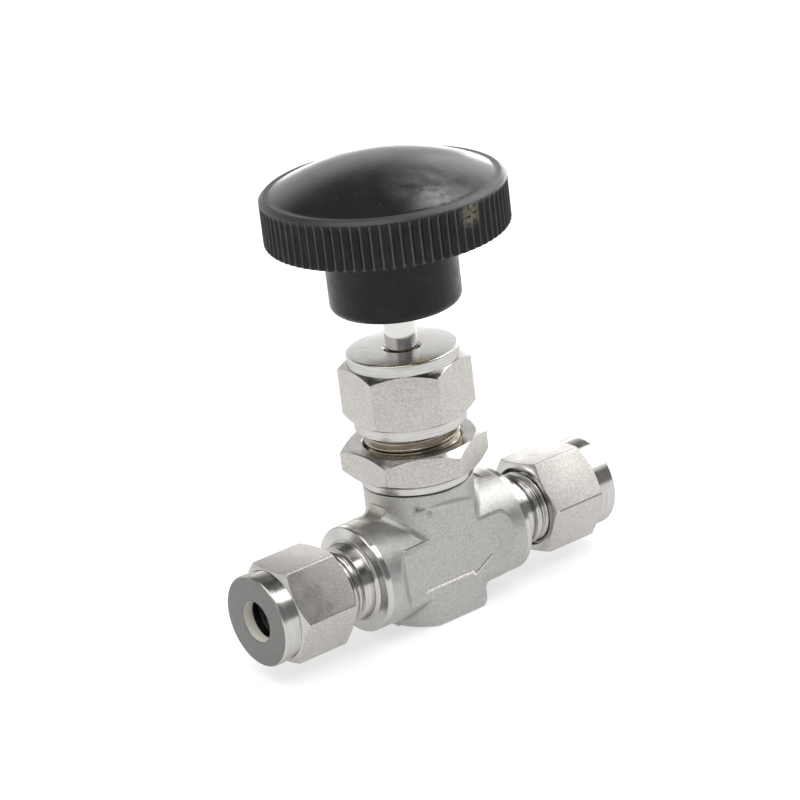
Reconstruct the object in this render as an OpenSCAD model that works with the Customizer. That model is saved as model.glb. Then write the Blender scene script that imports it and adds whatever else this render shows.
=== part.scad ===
// Straight needle valve: forged body with an integral bonnet, twin-ferrule ends for 6 mm tube.
// X is the flow direction (inlet at -X), Z is the stem axis, and the boss rests on Z = 0.

/* [Forged body] */
// Height of the flow axis above the flat of the boss
flow_h = 9.2; // [9:0.1:12]
// Radius of the two round arms
arm_r = 8.2; // [8.1:0.05:8.6]
// Radius of the upright column and of the boss below it
column_r = 8.2; // [8:0.05:8.6]
// Distance between the flat front and the flat back
flat_width = 13.7; // [13:0.1:15]
// Length of one round arm from the stem axis to its turned collar
arm_length = 10.9; // [10.5:0.1:12]

/* [Tube ends] */
// Outside diameter of the tube that the ends take
tube_d = 6; // [6:0.01:6.35]
// Distance from the stem axis to the outer face of a tube nut
end_length = 31.8; // [31:0.01:33]
// Hexagon of the tube nuts, across flats
tube_nut_af = 14; // [13.5:0.1:14.5]
// Turn of the right tube nut about the flow axis
right_nut_turn = 23.8; // [0:0.1:60]
// Turn of the left tube nut about the flow axis
left_nut_turn = 31.9; // [0:0.1:60]

/* [Bonnet] */
// Diameter of the panel thread on the bonnet
neck_d = 14.28; // [14:0.01:14.4]
// Hexagon of the panel nut, across flats
panel_nut_af = 19; // [18.5:0.1:19.5]
// Turn of the panel nut about the stem axis
panel_nut_turn = 28.6; // [0:0.1:60]
// Hexagon of the packing nut, across flats
packing_nut_af = 17; // [16.9:0.1:17.5]
// Turn of the packing nut about the stem axis
packing_nut_turn = 20.8; // [0:0.1:60]

/* [Stem and knob] */
// Diameter of the stem
stem_d = 4.74; // [4.6:0.01:4.8]
// Lift of the needle from closed to fully open, the position drawn here
needle_lift = 5.08; // [2.54:0.01:5.08]
// Diameter of the knob over its ribs
knob_d = 35.76; // [34:0.01:37]
// Height of the hub's lower face above the flow axis
hub_bottom = 38.6; // [38.3:0.1:39.5]
// Height of the top of the dome above the flow axis
knob_top = 61.1; // [60.5:0.1:62]

/* [Hidden] */
$fn = 96;
// Overlap that keeps joined solids joined and cuts clean
eps = 0.01;
// Radial gap between parts that turn or slide on each other
gap = 0.05;
tan30 = tan(30);

// Body, along the flow axis from the stem axis outward
flat_y = flat_width / 2;
collar_r = 8.15;
collar_end = 13.9;
collar_bevel = 0.2;
end_neck_r = 5.8;
end_neck_end = 16.3;
end_relief_r = 5.0;
end_thread_r = 5.55;
end_thread_start = 17.2;
end_thread_pitch = 1.27;
end_thread_depth = 0.5;
end_thread_count = 5;
body_end = 24.6;
socket_r = tube_d / 2 + 0.06;
socket_bottom = 15.4;
flow_r = 2;
cone_mouth_r = 4.3;
cone_depth = 5;

// Body, up the stem axis, as heights above the flow axis
shoulder_bottom = 9.6;
shoulder_top = 11.65;
shoulder_r = 8.15;
neck_r = neck_d / 2;
neck_top = 27.6;
neck_pitch = 1.411;
neck_thread_depth = 0.6;
neck_thread_start = 12.6;
neck_thread_count = 10;
packing_bore_r = 4.55;
packing_bore_bottom = 18.4;
stem_thread_bore_r = 3.2;
chamber_r = 3.4;
chamber_top = 8.6;
seat_z = 2.9;
seat_r = 1.6;
outlet_z = 5.2;

// Panel nut
panel_collar_r = 8.35;
panel_nut_bottom = 11.9;
panel_hex_bottom = 12.95;
panel_chamfer_r = 9.3;
panel_corner_top = 17.02;

// Packing nut
packing_disc_r = 8.3;
packing_chamfer_r = 8.44;
packing_disc_top = 32.07;
packing_corner_top = 29.48;
packing_corner_bottom = 22.64;
packing_collar_bottom = 20.3;
packing_roof = 28;
stem_hole_r = 2.55;

// Packing, from the bottom up
gland_r = packing_bore_r - gap;
lower_gland_top = 19.9;
packing_ring_h = 1.7;
chevron_h = 0.5;
ring_gap = 0.01;
ring_hole_r = stem_d / 2 + 0.02;

// Stem and needle at full lift
stem_top = 50.4;
stem_thread_r = 3.15;
stem_thread_top = 17.9;
stem_bottom = 10.6;
needle_r = 2.3;
needle_cone_h = 2.8;
needle_tip_r = 0.7;
seat_clearance = 0.02;
needle_cone_slope = needle_cone_h / (needle_r - needle_tip_r);
needle_cone_top = seat_z + seat_clearance + needle_cone_slope * (needle_r - seat_r) + needle_lift;
shank_r = 1.65;
shank_top = 14.4;
retainer_z = 12.4;
retainer_ring_r = 1.75;
retainer_wire_r = 0.3;

// Knob
hub_r = 9.66;
hub_edge = 1.4;
rim_bottom = 49.7;
rim_edge = 0.4;
rim_top = 56.4;
ring_outer_r = 17.3;
ring_top = 57.1;
ring_inner_r = 16.5;
dome_h = knob_top - ring_top;
dome_r = (pow(ring_inner_r, 2) + pow(dome_h, 2)) / (2 * dome_h);
insert_r = 4.5;
insert_top = 51;
screw_z = 44.2;
screw_r = 1.5;
screw_outer = 8.9;
screw_turn = 52;

// Tube nut, along its axis from the stem axis outward
nut_bore_r = 3.12;
nut_edge = 0.2;
nut_mouth_edge = 0.1;
nut_collar_r = 6.95;
nut_hex_in = 18.97;
nut_hex_out = 28.85;
nut_chamfer_r = 6.75;
nut_shoulder_x = 29.2;
nut_cavity_x = 27.1;
nut_cavity_r = 4.75;
ferrule_r = 4.6;
ferrule_hole_r = tube_d / 2 + 0.1;
front_ferrule_x = 22.6;
ferrule_split_x = 26.5;
back_ferrule_r = 4.1;

// ---- helpers ----------------------------------------------------------------------------------

// Puts a child that is drawn up +Z from the origin on the flow axis, towards +X (1) or -X (-1)
module on_end(side) {
    translate([0, 0, flow_h]) rotate([0, side * 90, 0]) children();
}

// Lifts a child that is drawn with heights above the flow axis
module on_stem() {
    translate([0, 0, flow_h]) children();
}

// Outline points of a thread: annular grooves on a shaft, from the start upward
function thread_points(r, depth, start, pitch, count) =
    [for (i = [0 : count - 1], p = [[r, 0], [r - depth, 0.45], [r - depth, 0.55], [r, 1]])
        [p[0], start + (i + p[1] * 0.9) * pitch]];

// Hexagon with both ends chamfered at 30 degrees from a circle of radius end_r
module chamfered_hex(af, bottom, top, end_r) {
    corner_r = af / sqrt(3);
    drop = (corner_r - end_r) * tan30;
    intersection() {
        translate([0, 0, bottom]) cylinder(h = top - bottom, r = corner_r, $fn = 6);
        rotate_extrude() polygon([
            [0, bottom], [end_r, bottom], [corner_r + eps, bottom + drop],
            [corner_r + eps, top - drop], [end_r, top], [0, top]]);
    }
}

// ---- body -------------------------------------------------------------------------------------

// Everything that is turned round the flow axis on one end, solid
module end_turning() {
    rotate_extrude() polygon(concat(
        [[0, 8], [collar_r, 8], [collar_r, collar_end - collar_bevel],
         [collar_r - collar_bevel, collar_end], [end_neck_r, collar_end],
         [end_neck_r, end_neck_end], [end_relief_r, end_neck_end + 0.3],
         [end_relief_r, end_thread_start - 0.3]],
        thread_points(end_thread_r, end_thread_depth, end_thread_start,
                      end_thread_pitch, end_thread_count),
        [[end_thread_r, body_end - 0.6], [end_thread_r - 0.6, body_end], [0, body_end]]));
}

// Tube socket and ferrule cone of one end, open outward
module end_socket() {
    translate([0, 0, socket_bottom]) cylinder(h = body_end, r = socket_r);
    translate([0, 0, body_end - cone_depth])
        cylinder(h = cone_depth + eps, r1 = socket_r, r2 = cone_mouth_r);
}

// Column, arms and boss between the two forged flats, with the turned shoulder on top
module body_solid() {
    intersection() {
        union() {
            cylinder(h = flow_h + shoulder_bottom, r = column_r);
            for (side = [-1, 1]) on_end(side) cylinder(h = arm_length, r = arm_r);
        }
        translate([-collar_end, -flat_y, 0]) cube([2 * collar_end, flat_width, 3 * flow_h]);
    }
    on_stem() rotate_extrude() polygon([
        [0, shoulder_bottom - eps], [shoulder_r, shoulder_bottom - eps],
        [shoulder_r, shoulder_top - 0.2], [shoulder_r - 0.2, shoulder_top], [0, shoulder_top]]);
    for (side = [-1, 1]) on_end(side) end_turning();
}

// Packing bore, stem thread bore, chamber and seat on the stem axis
module bonnet_bore() {
    on_stem() {
        translate([0, 0, packing_bore_bottom]) cylinder(h = neck_top, r = packing_bore_r);
        translate([0, 0, chamber_top - eps]) cylinder(h = neck_top / 2, r = stem_thread_bore_r);
        translate([0, 0, seat_z]) cylinder(h = chamber_top - seat_z, r = chamber_r);
        cylinder(h = seat_z + eps, r = seat_r);
    }
}

// Inlet passage to below the seat, and sloping outlet passage from the chamber above it
module passages() {
    on_end(-1) translate([0, 0, -seat_r]) cylinder(h = socket_bottom + seat_r + eps, r = flow_r);
    outlet_run = socket_bottom + 1;
    translate([outlet_run, 0, flow_h])
        rotate([0, -atan2(outlet_run, outlet_z), 0])
            cylinder(h = norm([outlet_run, outlet_z]) - chamber_r / 2, r = flow_r * 0.8);
}

module body() {
    color("silver") difference() {
        body_solid();
        bonnet_bore();
        passages();
        for (side = [-1, 1]) on_end(side) end_socket();
    }
}

// The body's threaded neck: one piece with the forging, drawn as a node of its own
module bonnet_neck() {
    bottom = shoulder_top + ring_gap;
    color("silver") difference() {
        on_stem() rotate_extrude() polygon(concat(
            [[0, bottom], [neck_r, bottom]],
            thread_points(neck_r, neck_thread_depth, neck_thread_start, neck_pitch,
                          neck_thread_count),
            [[neck_r, neck_top - 0.6], [neck_r - 0.6, neck_top], [0, neck_top]]));
        bonnet_bore();
    }
}

// ---- nuts and packing -------------------------------------------------------------------------

module panel_nut() {
    corner_r = panel_nut_af / sqrt(3);
    top = panel_corner_top + (corner_r - panel_chamfer_r) * tan30;
    color("silver") on_stem() difference() {
        union() {
            intersection() {
                translate([0, 0, panel_hex_bottom]) rotate(panel_nut_turn)
                    cylinder(h = top - panel_hex_bottom, r = corner_r, $fn = 6);
                rotate_extrude() polygon([
                    [0, panel_hex_bottom], [panel_collar_r, panel_hex_bottom],
                    [corner_r + eps, panel_hex_bottom + (corner_r - panel_collar_r) * tan30],
                    [corner_r + eps, panel_corner_top], [panel_chamfer_r, top], [0, top]]);
            }
            translate([0, 0, panel_nut_bottom])
                cylinder(h = panel_hex_bottom - panel_nut_bottom + eps, r = panel_collar_r);
        }
        translate([0, 0, panel_nut_bottom - eps]) cylinder(h = top, r = neck_r + gap);
        translate([0, 0, top - 0.3]) cylinder(h = 0.3 + eps, r1 = neck_r + gap, r2 = neck_r + 0.4);
    }
}

module packing_nut() {
    corner_r = packing_nut_af / sqrt(3);
    drop = (corner_r - packing_chamfer_r) * tan30;
    color("silver") on_stem() difference() {
        union() {
            rotate(packing_nut_turn) chamfered_hex(
                packing_nut_af, packing_corner_bottom - drop, packing_corner_top + drop,
                packing_chamfer_r);
            rotate_extrude() polygon([
                [0, packing_collar_bottom], [packing_disc_r, packing_collar_bottom],
                [packing_disc_r, packing_disc_top - 0.4],
                [packing_disc_r - 0.4, packing_disc_top], [0, packing_disc_top]]);
        }
        translate([0, 0, packing_collar_bottom - eps])
            cylinder(h = packing_roof - packing_collar_bottom + eps, r = neck_r + gap);
        cylinder(h = packing_disc_top + eps, r = stem_hole_r);
        translate([0, 0, packing_disc_top - 0.4])
            cylinder(h = 0.4 + eps, r1 = stem_hole_r, r2 = stem_hole_r + 0.4);
    }
}

// Plain ring between two heights above the flow axis
module gland_ring(bottom, top) {
    on_stem() difference() {
        translate([0, 0, bottom]) cylinder(h = top - bottom, r = gland_r);
        translate([0, 0, bottom - eps]) cylinder(h = top, r = stem_d / 2 + 0.08);
    }
}

module upper_gland() {
    color("silver") gland_ring(lower_gland_top + 3 * packing_ring_h, packing_roof - ring_gap);
}

module lower_gland() {
    color("silver") gland_ring(packing_bore_bottom, lower_gland_top);
}

// Packing ring: index counts from 0 at the bottom; the faces between rings are chevrons
module packing_ring(index) {
    bottom = lower_gland_top + index * packing_ring_h;
    top = bottom + packing_ring_h - ring_gap;
    mid_r = (ring_hole_r + gland_r) / 2;
    low_peak = index == 0 ? 0 : chevron_h;
    high_peak = index == 2 ? 0 : chevron_h;
    color("white") on_stem() rotate_extrude() polygon([
        [ring_hole_r, bottom], [mid_r, bottom + low_peak], [gland_r, bottom],
        [gland_r, top], [mid_r, top + high_peak], [ring_hole_r, top]]);
}

module packing_lower() packing_ring(0);
module packing_middle() packing_ring(1);
module packing_upper() packing_ring(2);

// ---- stem and knob ----------------------------------------------------------------------------

module stem() {
    color("silver") on_stem() difference() {
        rotate_extrude() polygon([
            [0, stem_bottom], [stem_thread_r - 0.4, stem_bottom],
            [stem_thread_r, stem_bottom + 0.4], [stem_thread_r, stem_thread_top - 0.4],
            [stem_d / 2, stem_thread_top], [stem_d / 2, stem_top - 0.4],
            [stem_d / 2 - 0.4, stem_top], [0, stem_top]]);
        translate([0, 0, stem_bottom - eps])
            cylinder(h = shank_top - stem_bottom + 0.2, r = shank_r + gap);
        translate([0, 0, retainer_z - retainer_wire_r - 0.1])
            cylinder(h = 2 * retainer_wire_r + 0.2, r = retainer_ring_r + retainer_wire_r + gap);
    }
}

module needle() {
    color("silver") on_stem() difference() {
        rotate_extrude() polygon([
            [0, needle_cone_top - needle_cone_h],
            [needle_tip_r, needle_cone_top - needle_cone_h], [needle_r, needle_cone_top],
            [needle_r, stem_bottom - gap], [shank_r, stem_bottom - gap],
            [shank_r, shank_top - 0.3], [shank_r - 0.3, shank_top], [0, shank_top]]);
        rotate_extrude() translate([retainer_ring_r, retainer_z]) circle(r = retainer_wire_r + 0.02);
    }
}

// Split wire ring in the groove of the needle's shank
module needle_retainer() {
    color("silver") on_stem() difference() {
        rotate_extrude() translate([retainer_ring_r, retainer_z]) circle(r = retainer_wire_r);
        translate([0, -0.4, retainer_z - 1]) cube([3, 0.8, 2]);
    }
}

module knob() {
    dome_drop = dome_r - dome_h;
    color([0.06, 0.06, 0.06]) on_stem() difference() {
        union() {
            rotate_extrude() union() {
                polygon([
                    [0, hub_bottom], [hub_r - hub_edge, hub_bottom],
                    [hub_r - hub_edge, hub_bottom + hub_edge], [hub_r, hub_bottom + hub_edge],
                    [hub_r, rim_bottom], [knob_d / 2 - rim_edge, rim_bottom],
                    [knob_d / 2, rim_bottom + rim_edge], [knob_d / 2, rim_top - 0.3],
                    [ring_outer_r, rim_top], [ring_outer_r, ring_top - 0.2],
                    [ring_outer_r - 0.2, ring_top], [0, ring_top]]);
                intersection() {
                    translate([hub_r - hub_edge, hub_bottom + hub_edge]) circle(r = hub_edge);
                    translate([0, hub_bottom]) square([hub_r, 2 * hub_edge]);
                }
            }
            intersection() {
                translate([0, 0, ring_top - dome_drop]) sphere(r = dome_r);
                translate([0, 0, ring_top - eps]) cylinder(h = dome_h + 1, r = ring_inner_r);
            }
        }
        translate([0, 0, hub_bottom - eps]) cylinder(h = insert_top - hub_bottom + eps, r = insert_r);
        screw_hole();
    }
}

// Radial hole of the set screw, from the stem outward through insert and hub
module screw_hole() {
    translate([0, 0, screw_z]) rotate([0, 90, screw_turn])
        cylinder(h = hub_r + 1, r = screw_r + 0.02);
}

module knob_insert() {
    color("goldenrod") on_stem() difference() {
        translate([0, 0, hub_bottom]) cylinder(h = insert_top - hub_bottom, r = insert_r);
        translate([0, 0, hub_bottom - eps])
            cylinder(h = stem_top - hub_bottom + 2 * eps, r = stem_d / 2 + 0.02);
        screw_hole();
    }
}

// Cup-point set screw with a hexagon socket
module set_screw() {
    socket_r = 0.85;
    color("dimgray") on_stem() translate([0, 0, screw_z]) rotate([0, 90, screw_turn]) difference() {
        translate([0, 0, stem_d / 2 + 0.02]) cylinder(h = screw_outer - stem_d / 2, r = screw_r);
        translate([0, 0, screw_outer - 1.5]) cylinder(h = 2, r = socket_r, $fn = 6);
    }
}

// ---- tube ends --------------------------------------------------------------------------------

// Tube nut drawn up +Z, its hexagon turned by the angle
module tube_nut(turn) {
    color("silver") difference() {
        union() {
            rotate(turn) chamfered_hex(tube_nut_af, nut_hex_in, nut_hex_out, nut_chamfer_r);
            rotate_extrude() polygon([
                [0, nut_hex_out - 1], [nut_collar_r, nut_hex_out - 1],
                [nut_collar_r, end_length - nut_edge], [nut_collar_r - nut_edge, end_length],
                [0, end_length]]);
        }
        translate([0, 0, nut_hex_in - eps])
            cylinder(h = body_end - nut_hex_in + 0.4, r = end_thread_r + gap);
        translate([0, 0, nut_hex_in - eps]) cylinder(h = nut_cavity_x - nut_hex_in, r = nut_cavity_r);
        translate([0, 0, nut_cavity_x - 2 * eps])
            cylinder(h = nut_shoulder_x - nut_cavity_x, r1 = nut_cavity_r, r2 = nut_bore_r);
        cylinder(h = end_length + eps, r = nut_bore_r);
        translate([0, 0, end_length - nut_mouth_edge]) cylinder(
            h = nut_mouth_edge + eps, r1 = nut_bore_r, r2 = nut_bore_r + nut_mouth_edge);
    }
}

// Front ferrule: long cone into the body, short undercut for the back ferrule
module front_ferrule() {
    nose_r = socket_r + (cone_mouth_r - socket_r) * (front_ferrule_x - body_end + cone_depth) / cone_depth;
    mouth_r = cone_mouth_r - gap;
    color("silver") difference() {
        rotate_extrude() polygon([
            [0, front_ferrule_x], [nose_r - gap, front_ferrule_x], [mouth_r, body_end],
            [ferrule_r, body_end + 0.3], [ferrule_r, ferrule_split_x], [0, ferrule_split_x]]);
        translate([0, 0, front_ferrule_x - eps]) cylinder(h = 6, r = ferrule_hole_r);
        translate([0, 0, ferrule_split_x - 0.8])
            cylinder(h = 0.8 + eps, r1 = ferrule_hole_r, r2 = ferrule_hole_r + 0.8);
    }
}

// Back ferrule: nose under the front ferrule, flange against the nut's shoulder
module back_ferrule() {
    shoulder_slope = (nut_shoulder_x - nut_cavity_x) / (nut_cavity_r - nut_bore_r);
    back_edge_r = ferrule_hole_r + 0.2;
    flange_end = nut_cavity_x + (nut_cavity_r - back_ferrule_r - gap) * shoulder_slope;
    back_end = nut_cavity_x + (nut_cavity_r - back_edge_r - gap) * shoulder_slope;
    color("silver") difference() {
        rotate_extrude() polygon([
            [0, ferrule_split_x - 0.5], [ferrule_hole_r + 0.2, ferrule_split_x - 0.5],
            [ferrule_hole_r + 0.7, ferrule_split_x + ring_gap],
            [back_ferrule_r, ferrule_split_x + ring_gap], [back_ferrule_r, flange_end],
            [back_edge_r, back_end], [0, back_end]]);
        translate([0, 0, ferrule_split_x - 1]) cylinder(h = 6, r = ferrule_hole_r);
    }
}

module left_nut() on_end(-1) tube_nut(left_nut_turn);
module left_front_ferrule() on_end(-1) front_ferrule();
module left_back_ferrule() on_end(-1) back_ferrule();
module right_nut() on_end(1) tube_nut(right_nut_turn);
module right_front_ferrule() on_end(1) front_ferrule();
module right_back_ferrule() on_end(1) back_ferrule();

body();
bonnet_neck();
panel_nut();
packing_nut();
upper_gland();
packing_upper();
packing_middle();
packing_lower();
lower_gland();
stem();
needle();
needle_retainer();
knob();
knob_insert();
set_screw();
left_nut();
left_front_ferrule();
left_back_ferrule();
right_nut();
right_front_ferrule();
right_back_ferrule();
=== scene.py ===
"""Needle valve: the visual model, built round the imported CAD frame.

Outlines are in millimetres. Heights on the stem axis and distances on the flow axis are measured
from the crossing of the two axes, as in the CAD source.
"""

import math

import bpy
import numpy as np
from mathutils import Matrix, Vector


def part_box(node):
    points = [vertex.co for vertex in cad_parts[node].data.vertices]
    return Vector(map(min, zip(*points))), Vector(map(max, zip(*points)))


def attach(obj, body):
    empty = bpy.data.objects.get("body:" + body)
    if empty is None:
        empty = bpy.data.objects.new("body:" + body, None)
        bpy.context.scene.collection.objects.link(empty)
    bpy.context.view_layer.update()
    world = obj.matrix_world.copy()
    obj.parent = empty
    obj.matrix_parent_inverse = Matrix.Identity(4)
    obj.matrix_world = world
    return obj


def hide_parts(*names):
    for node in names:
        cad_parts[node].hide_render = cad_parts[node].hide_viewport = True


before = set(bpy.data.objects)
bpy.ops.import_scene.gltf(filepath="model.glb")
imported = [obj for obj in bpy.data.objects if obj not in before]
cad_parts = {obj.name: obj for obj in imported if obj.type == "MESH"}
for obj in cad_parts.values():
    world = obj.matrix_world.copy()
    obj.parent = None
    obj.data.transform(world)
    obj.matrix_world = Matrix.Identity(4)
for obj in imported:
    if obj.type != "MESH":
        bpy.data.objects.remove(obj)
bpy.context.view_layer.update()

MM = 0.001
TAN30 = math.tan(math.radians(30))

# ---- sizes in millimetres ---------------------------------------------------------------------

# Height of the stem's lower end above the flow axis
STEM_END = 10.6
# Height of the flow axis, and the reach of a tube nut's outer face
FLOW_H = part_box("stem")[0].z / MM - STEM_END
END_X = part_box("right_nut")[1].x / MM
CROSSING = Vector((0, 0, FLOW_H * MM))

# Forging
COLUMN_R = 8.17
ARM_R = 8.2
COLLAR_R = 8.12
FLAT_Y = 6.85
CREST = 7.97
BOSS_BOTTOM = -FLOW_H
SHOULDER_TOP = 11.65
FORGING_END = 12.95

# Turned parts of the body
NECK_R = 7.14
NECK_TOP = 27.6
NECK_PITCH = 1.411
END_THREAD_R = 5.55
END_PITCH = 1.27
BODY_END = 24.6

# Inner space of the body; the chamber and the seat have the height of their middle and half their
# own height
PACKING_BORE_R = 4.55
PACKING_BORE_BOTTOM = 18.4
STEM_BORE_R = 3.22
STEM_BORE_BOTTOM = 8.5
CHAMBER_R, CHAMBER_MIDDLE, CHAMBER_HALF = 3.4, 5.75, 2.85
SEAT_R, SEAT_MIDDLE, SEAT_HALF = 1.7, 1.5, 1.5
INLET_R = 2.0
INLET_END = 1.6
OUTLET_R = 1.6
# Middle line of the outlet, as (x, z)
OUTLET = ((16.4, 0.0), (1.6, 4.7))
SOCKET_R = 3.06
SOCKET_BOTTOM = 15.4

# Marks of use on the knob: dusty scuffs, a chip in the rim, and the side where its edge is rubbed and is
# also painted lighter as a highlight
SCUFF_PLACE = (1.0, -11.5, 58.8)
SMEAR_PLACE = (-1.5, -14.6, 58.0)
CHIP_PLACE = (1.4, -17.6, 55.0)
WEAR_AND_HIGHLIGHT_PLACE = (15.0, -8.0, 57.0)

# ---- camera -----------------------------------------------------------------------------------

CAMERA_AZIMUTH = math.radians(-36.79)
CAMERA_ELEVATION = math.radians(20.74)
CAMERA_ROLL = math.radians(-6.975)
CAMERA_DEPTH = 0.51408
CAMERA_LENS = 156.2
# Where the crossing of the axes lies in the view, to the right and up from its middle, in metres
CROSSING_RIGHT = 0.0038993
CROSSING_UP = -0.0219313


def make_camera():
    a, e, r = CAMERA_AZIMUTH, CAMERA_ELEVATION, CAMERA_ROLL
    back = Vector((math.sin(a) * math.cos(e), -math.cos(a) * math.cos(e), math.sin(e)))
    level = Vector((math.cos(a), math.sin(a), 0))
    upright = back.cross(level)
    right = level * math.cos(r) + upright * math.sin(r)
    up = upright * math.cos(r) - level * math.sin(r)
    data = bpy.data.cameras.new("camera")
    data.lens = CAMERA_LENS
    data.sensor_width = 36
    data.clip_start = 0.01
    camera = bpy.data.objects.new("camera", data)
    place = CROSSING - right * CROSSING_RIGHT - up * CROSSING_UP + back * CAMERA_DEPTH
    turn = Matrix((right, up, back)).transposed()
    camera.matrix_world = Matrix.Translation(place) @ turn.to_4x4()
    bpy.context.scene.collection.objects.link(camera)
    bpy.context.scene.camera = camera


# ---- materials --------------------------------------------------------------------------------


# Sockets of a mix node that is set to mix colours
COLOR_A, COLOR_B, COLOR_RESULT = 6, 7, 2


class Nodes:
    """A new material with a principled shader, and short calls that add nodes to it."""

    def __init__(self, name, color, metallic, roughness):
        self.material = bpy.data.materials.new(name)
        self.material.use_nodes = True
        self.tree = self.material.node_tree
        self.shader = self.tree.nodes["Principled BSDF"]
        self.shader.inputs["Base Color"].default_value = (*color, 1)
        self.shader.inputs["Metallic"].default_value = metallic
        self.shader.inputs["Roughness"].default_value = roughness
        self.place = self.add("ShaderNodeTexCoord").outputs["Object"]

    def add(self, kind, **settings):
        node = self.tree.nodes.new(kind)
        for key, value in settings.items():
            setattr(node, key, value)
        return node

    def link(self, output, target):
        self.tree.links.new(output, target)

    def stretched(self, scale):
        mapping = self.add("ShaderNodeMapping")
        mapping.inputs["Scale"].default_value = scale
        self.link(self.place, mapping.inputs["Vector"])
        return mapping.outputs["Vector"]

    def noise(self, size_mm, detail=2.0, rough=0.5, stretch=None):
        """Noise with features of about size_mm."""
        node = self.add("ShaderNodeTexNoise")
        node.inputs["Scale"].default_value = 1 / (size_mm * MM)
        node.inputs["Detail"].default_value = detail
        node.inputs["Roughness"].default_value = rough
        self.link(self.stretched(stretch) if stretch else self.place, node.inputs["Vector"])
        return node.outputs["Fac"]

    def ramp(self, value, low, high, out_low, out_high):
        node = self.add("ShaderNodeMapRange")
        node.inputs["From Min"].default_value = low
        node.inputs["From Max"].default_value = high
        node.inputs["To Min"].default_value = out_low
        node.inputs["To Max"].default_value = out_high
        self.link(value, node.inputs["Value"])
        return node.outputs["Result"]

    def math(self, kind, a, b=None):
        node = self.add("ShaderNodeMath", operation=kind)
        for slot, value in zip(node.inputs, (a, b)):
            if isinstance(value, (int, float)):
                slot.default_value = value
            elif value is not None:
                self.link(value, slot)
        return node.outputs["Value"]

    def mix(self, factor, a, b):
        node = self.add("ShaderNodeMix", data_type="RGBA")
        self.link(factor, node.inputs["Factor"])
        for key, value in ((COLOR_A, a), (COLOR_B, b)):
            if isinstance(value, tuple):
                node.inputs[key].default_value = (*value, 1)
            else:
                self.link(value, node.inputs[key])
        return node.outputs[COLOR_RESULT]

    def near(self, spot, full, none):
        """One within full millimetres of a spot, measured from the crossing; 0 beyond none."""
        distance = self.add("ShaderNodeVectorMath", operation="DISTANCE")
        self.link(self.place, distance.inputs[0])
        distance.inputs[1].default_value = (spot[0] * MM, spot[1] * MM, (spot[2] + FLOW_H) * MM)
        return self.ramp(distance.outputs["Value"], full * MM, none * MM, 1, 0)

    def bump(self, height, depth_mm, strength=1.0, below=None):
        node = self.add("ShaderNodeBump")
        node.inputs["Strength"].default_value = strength
        node.inputs["Distance"].default_value = depth_mm * MM
        self.link(height, node.inputs["Height"])
        if below is not None:
            self.link(below, node.inputs["Normal"])
        self.link(node.outputs["Normal"], self.shader.inputs["Normal"])
        return node.outputs["Normal"]

    def set(self, name, output):
        self.link(output, self.shader.inputs[name])


def forged_steel():
    """Bead-blasted forging: fine even grain, slow changes of tone and roughness."""
    m = Nodes("forged_steel", (0.6, 0.595, 0.585), 1.0, 0.45)
    grain = m.noise(0.28, detail=5, rough=0.85)
    cloud = m.noise(2.6, detail=3)
    tone = m.mix(m.ramp(grain, 0.36, 0.64, 0, 1), (0.3, 0.295, 0.287), (0.52, 0.515, 0.503))
    m.set("Base Color", m.mix(m.ramp(cloud, 0.35, 0.7, 0, 0.35), tone, (0.5, 0.495, 0.483)))
    m.set("Roughness", m.ramp(cloud, 0.3, 0.7, 0.38, 0.48))
    low = m.bump(cloud, 0.06, 0.6)
    m.bump(grain, 0.032, 0.9, low)
    return m.material


def trimmed_steel():
    """Band where the flash was ground off: streaks along the part, a little browner."""
    m = Nodes("trimmed_steel", (0.5, 0.47, 0.43), 1.0, 0.35)
    streaks = m.noise(0.5, detail=4, rough=0.6, stretch=(1.0, 2.6, 1.0))
    grain = m.noise(0.14, detail=2)
    light = m.ramp(streaks, 0.35, 0.65, 0, 1)
    m.set("Base Color", m.mix(light, (0.31, 0.285, 0.25), (0.5, 0.47, 0.43)))
    m.set("Roughness", m.ramp(grain, 0.3, 0.7, 0.28, 0.42))
    m.bump(grain, 0.012, 0.6, m.bump(streaks, 0.03, 0.6))
    return m.material


def arrow_highlight_steel():
    """Raised arrow lines painted bright: a painted highlight along them."""
    m = Nodes("arrow_highlight_steel", (0.95, 0.94, 0.9), 1.0, 0.3)
    grain = m.noise(0.3, detail=2)
    light = m.ramp(grain, 0.35, 0.6, 0, 1)
    m.set("Base Color", m.mix(light, (0.6, 0.585, 0.55), (0.9, 0.88, 0.84)))
    return m.material


def flat_steel():
    """Hexagon flats: satin bar stock with a fine pitted grain."""
    m = Nodes("flat_steel", (0.62, 0.6, 0.58), 1.0, 0.4)
    grain = m.noise(0.28, detail=4, rough=0.8)
    cloud = m.noise(2.5, detail=3)
    light = m.ramp(grain, 0.35, 0.65, 0, 1)
    m.set("Base Color", m.mix(light, (0.36, 0.346, 0.328), (0.59, 0.57, 0.547)))
    m.set("Roughness", m.ramp(cloud, 0.3, 0.7, 0.3, 0.42))
    m.bump(grain, 0.014, 0.6)
    return m.material


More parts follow.
